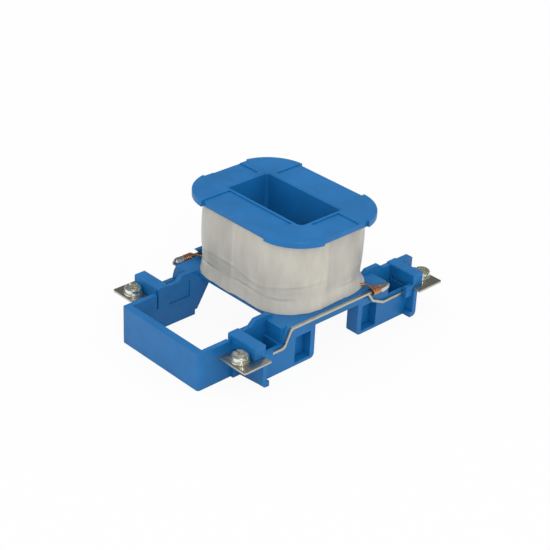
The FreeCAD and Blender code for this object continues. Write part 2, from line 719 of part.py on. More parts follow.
def screw(name, side_x, side_y):
    """Terminal screw, drawn from its seat on the washer."""
    body = new_body(name)
    sketch = new_sketch(body, "Profile", "XZ", ZERO)
    head = S["head_dia"] / 2
    top = S["head_tall"]
    edge = S["head_edge"]
    shank = S["thread_dia"] / 2
    length = S["washer_thick"] + S["sheet"] + S["collar_tall"] + S["thread_past"]
    outline(sketch, [
        (ZERO, -length), (shank - edge, -length), (shank, edge - length), (shank, ZERO),
        (head, ZERO), (head, top - edge), (head - edge, top), (ZERO, top),
    ])
    turn = body.newObject("PartDesign::Revolution", "Turned")
    turn.Profile = sketch
    turn.ReferenceAxis = (sketch, ["V_Axis"])
    turn.Angle = 360
    sketch = new_sketch(body, "Driver", "XY", top)
    half = S["slot_cut"] / 2
    cross = S["cross_len"] / 2
    outline(sketch, [
        (-head, -half), (-half, -half), (-half, -cross), (half, -cross), (half, -half),
        (head, -half), (head, half), (half, half), (half, cross), (-half, cross),
        (-half, half), (-head, half),
    ])
    body.Tip = pocket(body, sketch, S["slot_deep"], False)
    place(body, SCREW_X * side_x, SCREW_Y * side_y, TAB_TOP + S["washer_thick"])
    return body


def washer(name, side_x, side_y):
    body = new_body(name)
    sketch = new_sketch(body, "Ring", "XY", ZERO)
    ring(sketch, S["washer_dia"] / 2, ZERO, ZERO)
    ring(sketch, (S["thread_dia"] + S["thread_play"]) / 2, ZERO, ZERO)
    body.Tip = pad(body, sketch, S["washer_thick"])
    place(body, SCREW_X * side_x, SCREW_Y * side_y, TAB_TOP)
    return body


def turned(profile, x, z):
    """Solid turned about an axis along Y through (x, z). The profile is (radius, y) points."""
    points = [FreeCAD.Vector(x + radius, y, z) for radius, y in profile]
    face = Part.Face(Part.makePolygon(points + points[:1]))
    return face.revolve(FreeCAD.Vector(x, 0, z), FreeCAD.Vector(0, 1, 0), 360)


def feature(name, shape, side):
    made = doc.addObject("Part::Feature", name)
    made.Label = name
    made.Shape = shape
    made.Placement = FreeCAD.Placement(FreeCAD.Vector(0, 0, 0),
                                       FreeCAD.Rotation(FreeCAD.Vector(0, 0, 1), side))
    return made


def lead(name, side):
    """End of the winding wire: out of the wrap, across the deck and round the prong."""
    wire = number(S["lead_dia"])
    hole = math.hypot(number(S["sheet"]), number(S["strip_tall"])) / 2
    x = number(PRONG_X)
    z = number(PRONG_Z)
    first = number(S["wrap_from"])
    profile = [(hole, first - wire * 0.4)]
    for turn in range(int(number(S["wrap_turns"]))):
        middle = first + turn * wire
        profile += [(hole + wire * 0.7, middle - wire * 0.4), (hole + wire, middle - wire * 0.15),
                    (hole + wire, middle + wire * 0.15), (hole + wire * 0.7, middle + wire * 0.4)]
    profile.append((hole, profile[-1][1]))
    start = FreeCAD.Vector(number(WIRE_X + S["fit"] + S["tape_thick"]), first - 3.0,
                           z + hole + wire / 2)
    stop = FreeCAD.Vector(x, first, z + hole + wire / 2)
    run = Part.makeCylinder(wire / 2, (stop - start).Length, start, stop - start)
    return feature(name, turned(profile, x, z).fuse(run).removeSplitter(), side)


def solder(name, side):
    """Solder on the end of the prong, against the last turn of the lead."""
    near = number(S["wrap_from"]) + number(S["lead_dia"]) * (number(S["wrap_turns"]) - 0.55)
    length = number(S["solder_len"])
    radius = number(S["solder_dia"]) / 2
    bead = turned([(0, near), (radius * 0.6, near), (radius * 0.92, near + length * 0.2),
                   (radius, near + length * 0.45), (radius * 0.88, near + length * 0.72),
                   (radius * 0.5, near + length * 0.95), (0, near + length)],
                  number(PRONG_X), number(PRONG_Z))
    tall = number(S["strip_tall"])
    prong = Part.makeBox(number(S["sheet"]), number(S["prong_end"]), tall,
                         FreeCAD.Vector(number(STRIP_IN), 0, number(PRONG_Z) - tall / 2))
    return feature(name, bead.cut(prong), side)


def build():
    nodes = [bobbin_frame(), winding(), tape_wrap(),
             terminal_strip("terminal_strip_right", False),
             terminal_strip("terminal_strip_left", True)]
    for end, side_y in (("front", -1), ("rear", 1)):
        for hand, side_x in (("right", 1), ("left", -1)):
            nodes.append(screw(f"screw_{end}_{hand}", side_x, side_y))
            nodes.append(washer(f"washer_{end}_{hand}", side_x, side_y))
    for hand, turn in (("right", 0), ("left", 180)):
        nodes.append(lead(f"lead_{hand}", turn))
        nodes.append(solder(f"solder_{hand}", turn))
    return nodes


def check(nodes):
    for item in doc.Objects:
        if "Invalid" in item.State or "Error" in item.State:
            raise RuntimeError(f"{item.Name} did not rebuild")
    for node in nodes:
        if node.Shape.isNull() or not node.Shape.isValid():
            raise RuntimeError(f"{node.Label} is not a valid solid")
        if len(node.Shape.Solids) != 1:
            raise RuntimeError(f"{node.Label} has {len(node.Shape.Solids)} solids")


def write(nodes):
    os.makedirs("parts", exist_ok=True)
    for node in nodes:
        node.Shape.exportStep(f"parts/{node.Label}.step")
        box = node.Shape.BoundBox
        print(f"{node.Label}: volume {node.Shape.Volume:.1f}, "
              f"x {box.XMin:.1f}..{box.XMax:.1f}, y {box.YMin:.1f}..{box.YMax:.1f}, "
              f"z {box.ZMin:.1f}..{box.ZMax:.1f}")


parts = build()
doc.recompute()
check(parts)
write(parts)
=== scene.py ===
import math

import bmesh
import bpy
from mathutils import Matrix, Vector, noise


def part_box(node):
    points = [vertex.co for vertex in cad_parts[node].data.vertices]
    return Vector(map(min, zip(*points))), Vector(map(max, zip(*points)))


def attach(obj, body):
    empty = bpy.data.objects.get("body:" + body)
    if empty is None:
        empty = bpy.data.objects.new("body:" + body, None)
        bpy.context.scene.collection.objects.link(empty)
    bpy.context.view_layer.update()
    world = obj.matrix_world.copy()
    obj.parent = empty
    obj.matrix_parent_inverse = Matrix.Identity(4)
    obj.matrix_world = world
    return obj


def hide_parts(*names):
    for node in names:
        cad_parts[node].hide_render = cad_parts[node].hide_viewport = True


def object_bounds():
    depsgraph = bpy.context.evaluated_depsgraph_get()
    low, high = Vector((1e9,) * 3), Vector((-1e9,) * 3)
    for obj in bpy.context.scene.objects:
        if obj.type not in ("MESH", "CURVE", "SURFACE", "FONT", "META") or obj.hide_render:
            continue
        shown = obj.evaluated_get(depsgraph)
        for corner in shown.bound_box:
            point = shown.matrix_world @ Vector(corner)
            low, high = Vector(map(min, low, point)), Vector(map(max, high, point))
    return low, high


bl_info = {
    "name": "Contactor coil",
    "version": (1, 0, 0),
    "blender": (4, 5, 0),
    "location": "View3D > Sidebar > Coil",
    "description": "Dresses the operating coil of a contactor: frame, wrap, terminals and leads",
    "category": "Object",
}

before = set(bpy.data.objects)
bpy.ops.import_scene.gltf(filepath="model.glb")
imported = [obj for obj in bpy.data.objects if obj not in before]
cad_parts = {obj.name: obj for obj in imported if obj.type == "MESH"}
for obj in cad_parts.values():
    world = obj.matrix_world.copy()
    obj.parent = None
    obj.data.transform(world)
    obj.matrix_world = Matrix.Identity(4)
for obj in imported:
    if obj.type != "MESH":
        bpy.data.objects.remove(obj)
CAD_BOX = [list(corner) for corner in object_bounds()]

MM = 0.001
SIDES = (("right", 1), ("left", -1))
CORNERS = [(f"{end}_{side}", x, y) for side, x in SIDES for end, y in (("front", -1), ("rear", 1))]


def node(name):
    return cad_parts[name]


def linear(text):
    """An sRGB hex colour as linear RGBA."""
    channels = [int(text[i:i + 2], 16) / 255 for i in (1, 3, 5)]
    return tuple(c / 12.92 if c <= 0.04045 else ((c + 0.055) / 1.055) ** 2.4
                 for c in channels) + (1.0,)


def linear3(text):
    return linear(text)[:3]


def colour(name, text, description):
    return bpy.props.FloatVectorProperty(
        name=name, description=description, subtype="COLOR", size=3, min=0.0, max=1.0,
        default=linear3(text))


def length(name, millimetres, description):
    return bpy.props.FloatProperty(
        name=name, description=description, default=millimetres * MM, min=0.0,
        subtype="DISTANCE", unit="LENGTH", precision=5)


# Sizes and colours


class FrameSettings(bpy.types.PropertyGroup):
    plastic: colour("Plastic", "#1269A7", "Blue of the moulded frame")
    roughness: bpy.props.FloatProperty(
        name="Roughness", description="Roughness of the moulded skin", default=0.42,
        min=0.0, max=1.0)
    edge: length("Edge", 0.22, "Radius that the mould leaves on the outer edges")
    corner: length("Leg corner", 1.6, "Radius of the lower corners of the legs")
    barrier: length("Barrier edge", 0.9, "Radius of the upper edges of the barriers")
    guide: length("Guide", 2.8, "How much further the guide beside the left lead reaches")
    waist: length("Waist", 1.5, "How far the deck edge is drawn in under the wrap")


class WrapSettings(bpy.types.PropertyGroup):
    tape: colour("Tape", "#BDB9AE", "Whitish grey of the wrap")
    wave: length("Wave", 0.42, "Height of the slow waves over the winding")
    crease: length("Crease", 0.40, "Height of the creases near the lower edge")
    step: length("Step", 0.12, "Thickness of one layer of tape, seen at its edges")
    crown: length("Crown", 0.9, "Swell of the winding between the flange and the deck")
    flare: length("Flare", 0.7, "How far the lower edge stands off")
    flap: length("Flap", 1.3, "How much further it stands off where the wire comes out")
    corner: length("Corner", 15.0, "Corner radius of the wrap")
    layer_from: bpy.props.FloatProperty(
        name="Layer from", description="Start of the outer layer, as a share of the way round",
        default=0.02, min=0.0, max=1.0)
    layer_to: bpy.props.FloatProperty(
        name="Layer to", description="End of the outer layer, as a share of the way round",
        default=0.785, min=0.0, max=1.0)


class MetalSettings(bpy.types.PropertyGroup):
    terminal: colour("Terminal", "#CBC8BB", "Tinned steel of the terminal strips")
    screw: colour("Screw", "#FBFCEE", "Nickel plate of the screws")
    copper: colour("Copper", "#DB9C70", "Enamelled copper of the leads")
    solder: colour("Solder", "#D6D8D8", "Tin of the solder joints")
    pitch: length("Thread pitch", 0.6, "Pitch of the screw thread")
    wire: length("Wire", 0.9, "Diameter of the winding wire")
    stamped: length("Stamped edge", 0.1, "Edge radius of the stamped strips")
    turned: length("Turned edge", 0.09, "Edge radius of the screws and washers")


class StageSettings(bpy.types.PropertyGroup):
    distance: length("Camera distance", 530.49, "From the camera to the point it looks at")
    lens: bpy.props.FloatProperty(
        name="Lens", description="Focal length on a 36 mm sensor, in millimetres",
        default=97.87, min=10.0, max=300.0)
    azimuth: bpy.props.FloatProperty(
        name="Azimuth", description="Camera azimuth", default=math.radians(45.73),
        subtype="ANGLE", unit="ROTATION")
    elevation: bpy.props.FloatProperty(
        name="Elevation", description="Camera elevation", default=math.radians(29.7),
        subtype="ANGLE", unit="ROTATION")
    sky: bpy.props.FloatProperty(
        name="Sky", description="Strength of the even light", default=1.12, min=0.0)
    room: bpy.props.FloatProperty(
        name="Room", description="Strength of the room in reflections", default=0.17, min=0.0)
    floor_shine: bpy.props.FloatProperty(
        name="Floor shine", description="How white the paper is in reflections", default=0.34,
        min=0.0, max=1.0)
    key: bpy.props.FloatProperty(
        name="Key", description="Power of the lamp on the camera side", default=1.35, min=0.0)
    fill: bpy.props.FloatProperty(
        name="Fill", description="Power of the lamp towards the box wall", default=0.1, min=0.0)
    top: bpy.props.FloatProperty(
        name="Top", description="Power of the lamp above", default=0.55, min=0.0)
    roll: bpy.props.FloatProperty(
        name="Roll", description="Camera roll", default=math.radians(2.65),
        subtype="ANGLE", unit="ROTATION")


def settings(name):
    return getattr(bpy.context.scene, name)


# Materials


def add_node(material, kind, links=(), **values):
    """Adds a node. Values set node properties, or inputs by name or by _number, and links join
    inputs to outputs."""
    made = material.node_tree.nodes.new(kind)
    for key, value in values.items():
        if hasattr(made, key):
            setattr(made, key, value)
    for key, value in values.items():
        if not hasattr(made, key):
            socket = int(key[1:]) if key[1:].isdigit() else key.replace("_", " ")
            made.inputs[socket].default_value = value
    for key, source in dict(links).items():
        material.node_tree.links.new(made.inputs[key], source)
    return made


def new_material(name, base, **sockets):
    material = bpy.data.materials.new(name)
    material.use_nodes = True
    shader = material.node_tree.nodes["Principled BSDF"]
    shader.inputs["Base Color"].default_value = tuple(base) + (1.0,)
    for key, value in sockets.items():
        shader.inputs[key.replace("_", " ")].default_value = value
    return material, shader


def join(material, socket, source):
    material.node_tree.links.new(socket, source)


def shade(base, factor):
    return tuple(min(1.0, c * factor) for c in base) + (1.0,)


def moulded_polyamide():
    """Blue glass-filled nylon: an even satin skin with a fine mould grain and soft, wide glints."""
    look = settings("coil_frame")
    # Below the 1.53 of nylon, because the glass fibres in the skin scatter its shine
    material, shader = new_material(
        "Moulded polyamide", look.plastic, Roughness=look.roughness, IOR=1.42)
    place = add_node(material, "ShaderNodeTexCoord").outputs["Object"]
    flow = add_node(material, "ShaderNodeTexNoise", {"Vector": place}, Scale=90.0, Detail=3.0,
                    Roughness=0.6)
    # The glass fibres leave the skin a little cloudy, in patches of about 10 mm
    tint = add_node(material, "ShaderNodeValToRGB", {"Fac": flow.outputs["Fac"]})
    tint.color_ramp.elements[0].position = 0.35
    tint.color_ramp.elements[0].color = shade(look.plastic, 0.92)
    tint.color_ramp.elements[1].position = 0.65
    tint.color_ramp.elements[1].color = shade(look.plastic, 1.08)
    join(material, shader.inputs["Base Color"], tint.outputs["Color"])
    # Mould grain of about 0.4 mm
    grain = add_node(material, "ShaderNodeTexNoise", {"Vector": place}, Scale=2500.0, Detail=2.0)
    bump = add_node(material, "ShaderNodeBump", {"Height": grain.outputs["Fac"]}, Strength=0.12,
                    Distance=0.00005)
    join(material, shader.inputs["Normal"], bump.outputs["Normal"])
    return material


def polyester_tape():
    """Whitish polyester tape over a soft base: satin, a little see-through, wrinkled in bands."""
    look = settings("coil_wrap")
    material, shader = new_material(
        "Polyester tape", look.tape, Roughness=0.3, IOR=1.55)
    place = add_node(material, "ShaderNodeTexCoord").outputs["Object"]
    # Glue and folds under the film leave clouds about 6 mm wide, taller than wide
    stretched = add_node(material, "ShaderNodeMapping", {"Vector": place},
                         Scale=(170.0, 170.0, 60.0))
    clouds = add_node(material, "ShaderNodeTexNoise", {"Vector": stretched.outputs["Vector"]},
                      Scale=1.0, Detail=3.0, Roughness=0.55)
    tint = add_node(material, "ShaderNodeValToRGB", {"Fac": clouds.outputs["Fac"]})
    tint.color_ramp.elements[0].position = 0.32
    tint.color_ramp.elements[0].color = shade(look.tape, 0.88)
    tint.color_ramp.elements[1].position = 0.68
    tint.color_ramp.elements[1].color = shade(look.tape, 1.07)
    # The outer layer darkens the film a little, up to its upright edge; the lower band is left out
    # of it and so stays lighter, a painted highlight for the light its flared edge catches
    layer = add_node(material, "ShaderNodeAttribute", attribute_name="layer")
    darker = add_node(material, "ShaderNodeMix", {
        0: layer.outputs["Fac"], 6: tint.outputs["Color"]},
        _7=(0.86, 0.87, 0.88, 1.0), data_type="RGBA", blend_type="MULTIPLY")
    join(material, shader.inputs["Base Color"], darker.outputs[2])
    # Small wrinkles, about 1.5 mm apart
    wrinkle = add_node(material, "ShaderNodeTexNoise", {"Vector": place}, Scale=550.0, Detail=3.0)
    bump = add_node(material, "ShaderNodeBump", {"Height": wrinkle.outputs["Fac"]}, Strength=0.3,
                    Distance=0.00012)
    join(material, shader.inputs["Normal"], bump.outputs["Normal"])
    return material


def tinned_steel():
    """Stamped and tinned steel strip: grey metal, dulled and streaked by handling."""
    look = settings("coil_metal")
    material, shader = new_material("Tinned steel", look.terminal, Metallic=1.0, Roughness=0.34)
    place = add_node(material, "ShaderNodeTexCoord").outputs["Object"]
    dull = add_node(material, "ShaderNodeTexNoise", {"Vector": place}, Scale=400.0, Detail=4.0)
    rough = add_node(material, "ShaderNodeMapRange", {"Value": dull.outputs["Fac"]},
                     From_Min=0.3, From_Max=0.7, To_Min=0.24, To_Max=0.46)
    join(material, shader.inputs["Roughness"], rough.outputs["Result"])
    return material


def nickel_plate():
    """Nickel on steel: bright, a touch warm, with soft reflections."""
    look = settings("coil_metal")
    return new_material("Nickel plate", look.screw, Metallic=1.0, Roughness=0.36)[0]


def enamelled_copper():
    """Copper winding wire under clear varnish: warm metal with a sharp coat."""
    look = settings("coil_metal")
    return new_material("Enamelled copper", look.copper, Metallic=1.0, Roughness=0.28,
                        Coat_Weight=0.5, Coat_Roughness=0.08)[0]


def soft_solder():
    """Tin solder: bright grey where it flowed, dull where it froze."""
    look = settings("coil_metal")
    material, shader = new_material("Soft solder", look.solder, Metallic=1.0, Roughness=0.3)
    place = add_node(material, "ShaderNodeTexCoord").outputs["Object"]
    skin = add_node(material, "ShaderNodeTexNoise", {"Vector": place}, Scale=900.0, Detail=2.0)
    bump = add_node(material, "ShaderNodeBump", {"Height": skin.outputs["Fac"]}, Strength=0.4,
                    Distance=0.0001)
    join(material, shader.inputs["Normal"], bump.outputs["Normal"])
    return material


def give(piece, material):
    piece.data.materials.clear()
    piece.data.materials.append(material)


# Shapes


def as_object(name, shape, material, smooth_angle=40.0):
    """Closes a bmesh into an object at the origin, smooth-shaded below the angle."""
    mesh = bpy.data.meshes.new(name)
    shape.normal_update()
    limit = math.radians(smooth_angle)
    for face in shape.faces:
        face.smooth = True
    for edge in shape.edges:
        edge.smooth = len(edge.link_faces) == 2 and edge.calc_face_angle(0.0) < limit
    shape.to_mesh(mesh)
    shape.free()
    piece = bpy.data.objects.new(name, mesh)
    bpy.context.scene.collection.objects.link(piece)
    give(piece, material)
    return piece


def fit_in(piece, slot, *nodes):
    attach(piece, "root")
    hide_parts(*nodes)
    return piece


def merged_copy(name):
    """A bmesh of a solid with its triangles joined and its flat faces whole again."""
    shape = bmesh.new()
    shape.from_mesh(node(name).data)
    bmesh.ops.remove_doubles(shape, verts=shape.verts[:], dist=0.000002)
    bmesh.ops.dissolve_limit(shape, angle_limit=math.radians(0.5), verts=shape.verts[:],
                             edges=shape.edges[:], use_dissolve_boundaries=False)
    return shape


def soften(shape, radius, least_angle, segments=2):
    """Rounds the edges that turn by more than the least angle."""
    sharp = [edge for edge in shape.edges
             if len(edge.link_faces) == 2 and edge.calc_face_angle(0.0) > least_angle]
    bmesh.ops.bevel(shape, geom=sharp, offset=radius, offset_type="OFFSET", affect="EDGES",
                    segments=segments, profile=0.5, clamp_overlap=True, material=-1,
                    loop_slide=True)


def outward(shape):
    bmesh.ops.recalc_face_normals(shape, faces=shape.faces[:])


def round_off(shape, places, radius, segments=4):
    """Rounds the edges along X that pass through the given (y, z) places."""
    chosen = []
    for edge in shape.edges:
        a, b = (vert.co for vert in edge.verts)
        if abs(a.y - b.y) + abs(a.z - b.z) < 0.00001 and abs(a.x - b.x) > 0.001:
            if any(math.hypot(a.y - y, a.z - z) < 0.00003 for y, z in places):
                chosen.append(edge)
    bmesh.ops.bevel(shape, geom=chosen, offset=radius, offset_type="OFFSET", affect="EDGES",
                    segments=segments, profile=0.5, clamp_overlap=True, material=-1)


def ring_at(shape, place, tangent, radius, sides=12):
    """Adds a circle of edges square to a direction and returns its vertices."""
    turn = tangent.to_track_quat("Z", "Y").to_matrix().to_4x4()
    made = bmesh.ops.create_circle(shape, cap_ends=False, radius=radius, segments=sides,
                                   matrix=Matrix.Translation(place) @ turn)
    return made["verts"]


def wire_along(shape, path, radius, sides=12):
    """Adds a round wire through the points of a path."""
    rings = []
    for i, place in enumerate(path):
        tangent = path[min(i + 1, len(path) - 1)] - path[max(i - 1, 0)]
        rings.append(ring_at(shape, place, tangent, radius, sides))
    for near, far in zip(rings, rings[1:]):
        edges = {edge for ring in (near, far) for vert in ring for edge in vert.link_edges
                 if edge.other_vert(vert) in ring}
        bmesh.ops.bridge_loops(shape, edges=list(edges))
    for ring in (rings[0], rings[-1]):
        edges = {edge for vert in ring for edge in vert.link_edges if edge.is_boundary}
        bmesh.ops.holes_fill(shape, edges=list(edges), sides=0)


class CoilFrame(bpy.types.Operator):
    """Frame moulding with the soft edges that the mould leaves"""

    bl_idname = "coil.frame"
    bl_label = "Frame moulding"

    # Faces of the moulding, in millimetres from the slot axis and the underside
    DECK_TOP = 16.5
    DECK_EDGE = 23.8
    WAIST_END = 18.5
    GUIDE_FACE = -26.5
    GUIDE_END = -12.8
    BARRIER_FACES = (36.0, 40.8)
    LEG_FACES = (10.5, 20.0, 37.6)

    def execute(self, context):
        look = settings("coil_frame")
        shape = merged_copy("bobbin_frame")
        self.draw_in_waist(shape, look.waist)
        self.lengthen_guide(shape, look.guide)
        round_off(shape, self.leg_corners(), look.corner)
        round_off(shape, self.barrier_edges(), look.barrier, 3)
        soften(shape, look.edge, math.radians(35.0))
        piece = as_object("frame_moulding", shape, moulded_polyamide(), 35.0)
        fit_in(piece, "moulding", "bobbin_frame")
        return {"FINISHED"}

    def draw_in_waist(self, shape, inset):
        """Draws in the deck edge between the legs, which the wrap overhangs."""
        for vert in shape.verts:
            x, y, z = (abs(value) / MM for value in vert.co)
            in_deck = abs(z - self.DECK_TOP + 1.0) < 1.5
            if x < self.WAIST_END and abs(y - self.DECK_EDGE) < 0.2 and in_deck:
                vert.co.y -= math.copysign(inset, vert.co.y)

    def lengthen_guide(self, shape, more):
        """Carries the guide beside the left lead on past the edge of the notch."""
        for vert in shape.verts:
            x, y, z = (value / MM for value in vert.co)
            at_end = abs(y - self.GUIDE_END) < 0.05
            if x < self.GUIDE_FACE and at_end and z > self.DECK_TOP + 0.1:
                vert.co.y -= more

    def barrier_edges(self):
        """Upper edges of the barriers, as (y, z)."""
        return [(side * y * MM, self.DECK_TOP * MM) for side in (1, -1)
                for y in self.BARRIER_FACES]

    def leg_corners(self):
        """Lower corners of the legs and of the plates that end the platforms, as (y, z)."""
        low = CAD_BOX[0][2]
        return [(side * y * MM, low) for side in (1, -1) for y in self.LEG_FACES]


class CoilWrap(bpy.types.Operator):
    """Tape wrap, waved over the winding and creased near its lower edge"""

    bl_idname = "coil.wrap"
    bl_label = "Tape wrap"

    # Faces of the sheet round the coil and up its side
    ROUND = 288
    ROWS = 56
    # In millimetres: height of the wrap, its wall, and how far it may sink into the winding
    HEIGHT = 27.6
    WALL = 0.4
    SINK = 0.1
    # Height, wander up and down, share of the full depth and half width of each crease
    CREASES = ((5.2, 1.6, 1.0, 0.42), (8.6, 3.0, 0.4, 0.6))
    # Below these shares of the height the outer layer's darkening fades out, so that the lower band
    # stays lighter: a painted highlight for the light its flared edge catches
    PAINTED_LIGHT_BAND_TOP = 0.14
    PAINTED_LIGHT_BAND_FADE = 0.10

    def execute(self, context):
        give(node("winding"), enamelled_copper())
        low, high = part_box("tape_wrap")
        look = settings("coil_wrap")
        # One sheet: up the outside, over the top, down the inside and back to its first row
        rows = self.ROWS + 3
        shape = bmesh.new()
        layer = shape.verts.layers.float.new("layer")
        bmesh.ops.create_grid(shape, x_segments=self.ROUND, y_segments=rows, size=0.5)
        for vert in shape.verts:
            column = round((vert.co.x + 0.5) * self.ROUND) % self.ROUND
            row = round((vert.co.y + 0.5) * rows) % rows
            share = column / self.ROUND
            if row > self.ROWS:
                vert.co = self.inside(low, high, share, high.z if row == self.ROWS + 1 else low.z)
            else:
                rise = row / self.ROWS
                vert.co = self.outside(low, high, share, rise, look)
                over = look.layer_from < share < look.layer_to
                # The lower band keeps the lighter colour, as painted light
                vert[layer] = over * min(1.0, max(0.0, (rise - self.PAINTED_LIGHT_BAND_TOP) / self.PAINTED_LIGHT_BAND_FADE))
        bmesh.ops.remove_doubles(shape, verts=shape.verts[:], dist=0.001 * MM)
        outward(shape)
        piece = as_object("wrap", shape, polyester_tape(), 60.0)
        fit_in(piece, "tape", "tape_wrap")
        return {"FINISHED"}

    def outline(self, half_x, half_y, radius, share):
        """Point and outward direction at a share of the way round a rounded rectangle."""
        straight_x, straight_y = half_x - radius, half_y - radius
        quarter = math.pi / 2 * radius
        walk = share * (4 * (straight_x + straight_y) + 4 * quarter)
        corners = ((1, 1, straight_y * 2, 0.0), (-1, 1, straight_x * 2, 0.5),
                   (-1, -1, straight_y * 2, 1.0), (1, -1, straight_x * 2, 1.5))
        for sign_x, sign_y, run, turn in corners:
            facing = Vector((math.cos(turn * math.pi), math.sin(turn * math.pi)))
            along = Vector((-facing.y, facing.x))
            centre = Vector((sign_x * straight_x, sign_y * straight_y))
            if walk < run:
                return centre + facing * radius - along * (run - walk), facing
            walk -= run
            if walk < quarter:
                angle = turn * math.pi + walk / radius
                facing = Vector((math.cos(angle), math.sin(angle)))
                return centre + facing * radius, facing
            walk -= quarter
        return Vector((half_x, -straight_y)), Vector((1.0, 0.0))

    def outside(self, low, high, share, rise, look):
        place, facing = self.outline(high.x - look.crown, high.y - look.crown, look.corner, share)
        place = place + facing * self.swell(place, facing, rise, share, look)
        return place.x, place.y, low.z + (high.z - low.z) * rise

    def inside(self, low, high, share, level):
        look = settings("coil_wrap")
        wall = self.WALL * MM
        inset = look.crown + wall
        place, facing = self.outline(high.x - inset, high.y - inset, look.corner - wall, share)
        return place.x, place.y, level

    def swell(self, place, facing, rise, share, look):
        """How far the tape stands out over its outline at one place."""
        x, y = place / MM
        z = rise * self.HEIGHT
        # Fullest above the middle, drawn in above the lower edge
        out = look.crown * (0.30 + 0.55 * (4 * rise * (1 - rise)) ** 0.8 - 0.35 * math.exp(
            -((z - 6.0) / 3.2) ** 2))
        # Slow waves, longer along the height than round the coil
        out += look.wave * noise.noise(Vector((x * 0.11, y * 0.11, z * 0.05)))
        out += look.wave * 0.55 * noise.noise(Vector((x * 0.33, y * 0.33, z * 0.10 + 7.0)))
        # Pulled in unevenly below the flange
        pull = max(0.0, noise.noise(Vector((x * 0.24, y * 0.24, 3.0))))
        out -= look.wave * 1.2 * pull * max(0.0, rise - 0.72) / 0.28
        # Creases round the lower part, wandering up and down and fading in and out
        for level, wander, depth, width in self.CREASES:
            middle = level + wander * noise.noise(Vector((x * 0.05, y * 0.05, level)))
            fade = noise.noise(Vector((x * 0.09, y * 0.09, level + 20.0)))
            strength = max(0.0, 0.5 + 1.3 * fade)
            out -= look.crease * depth * strength * math.exp(-((z - middle) / width) ** 2)
            out += look.crease * 0.6 * strength * math.exp(-((z - middle - 1.0) / 0.7) ** 2)
        # The free lower edge stands off, most of all at the corner where the wire comes out
        loose = max(0.0, 1 - z / 4.5) ** 2
        corner = max(0.0, facing.x) * max(0.0, facing.y) * 2
        out += loose * (look.flare + look.flap * corner ** 4)
        # The outer layer ends in an upright edge on the wall towards the box
        if look.layer_from < share < look.layer_to:
            out += look.step
        return max(out, -self.SINK * MM)


class CoilTerminals(bpy.types.Operator):
    """Terminal strips, washers and screws"""

    bl_idname = "coil.terminals"
    bl_label = "Terminals"

    # In millimetres: radius of the screw shank, depth of its thread, and plain end below it
    SHANK = 1.75
    THREAD = 0.27
    PLAIN_END = 0.35
    TURNS = 2
    STEPS = 24

    def execute(self, context):
        look = settings("coil_metal")
        steel = tinned_steel()
        nickel = nickel_plate()
        for side, sign in SIDES:
            shape = merged_copy(f"terminal_strip_{side}")
            soften(shape, look.stamped, math.radians(40.0))
            piece = as_object(f"strip_{side}", shape, steel, 35.0)
            fit_in(piece, "terminal", f"terminal_strip_{side}")
        for corner, x, y in CORNERS:
            shape = merged_copy(f"screw_{corner}")
            soften(shape, look.turned, math.radians(30.0), 3)
            self.thread(shape, f"screw_{corner}", look.pitch)
            piece = as_object(f"bolt_{corner}", shape, nickel, 35.0)
            fit_in(piece, "screw", f"screw_{corner}")
            shape = merged_copy(f"washer_{corner}")
            soften(shape, look.turned, math.radians(30.0), 3)
            piece = as_object(f"disc_{corner}", shape, nickel, 35.0)
            fit_in(piece, "washer", f"washer_{corner}")
        return {"FINISHED"}

    def thread(self, shape, name, pitch):
        """Adds the thread that shows below the tab."""
        low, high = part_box(name)
        axis = (low + high) / 2
        root = self.SHANK - self.THREAD - 0.01
        start = Vector((axis.x + root * MM, axis.y, low.z + self.PLAIN_END * MM))
        corners = [start, start + Vector((self.THREAD * MM, 0.0, pitch * 0.4)),
                   start + Vector((0.0, 0.0, pitch * 0.8))]
        face = shape.faces.new([shape.verts.new(corner) for corner in corners])
        bmesh.ops.spin(shape, geom=[face], cent=(axis.x, axis.y, 0.0), axis=(0.0, 0.0, 1.0),
                       dvec=(0.0, 0.0, pitch / self.STEPS), angle=math.tau * self.TURNS,
                       steps=self.STEPS * self.TURNS, use_duplicate=False)


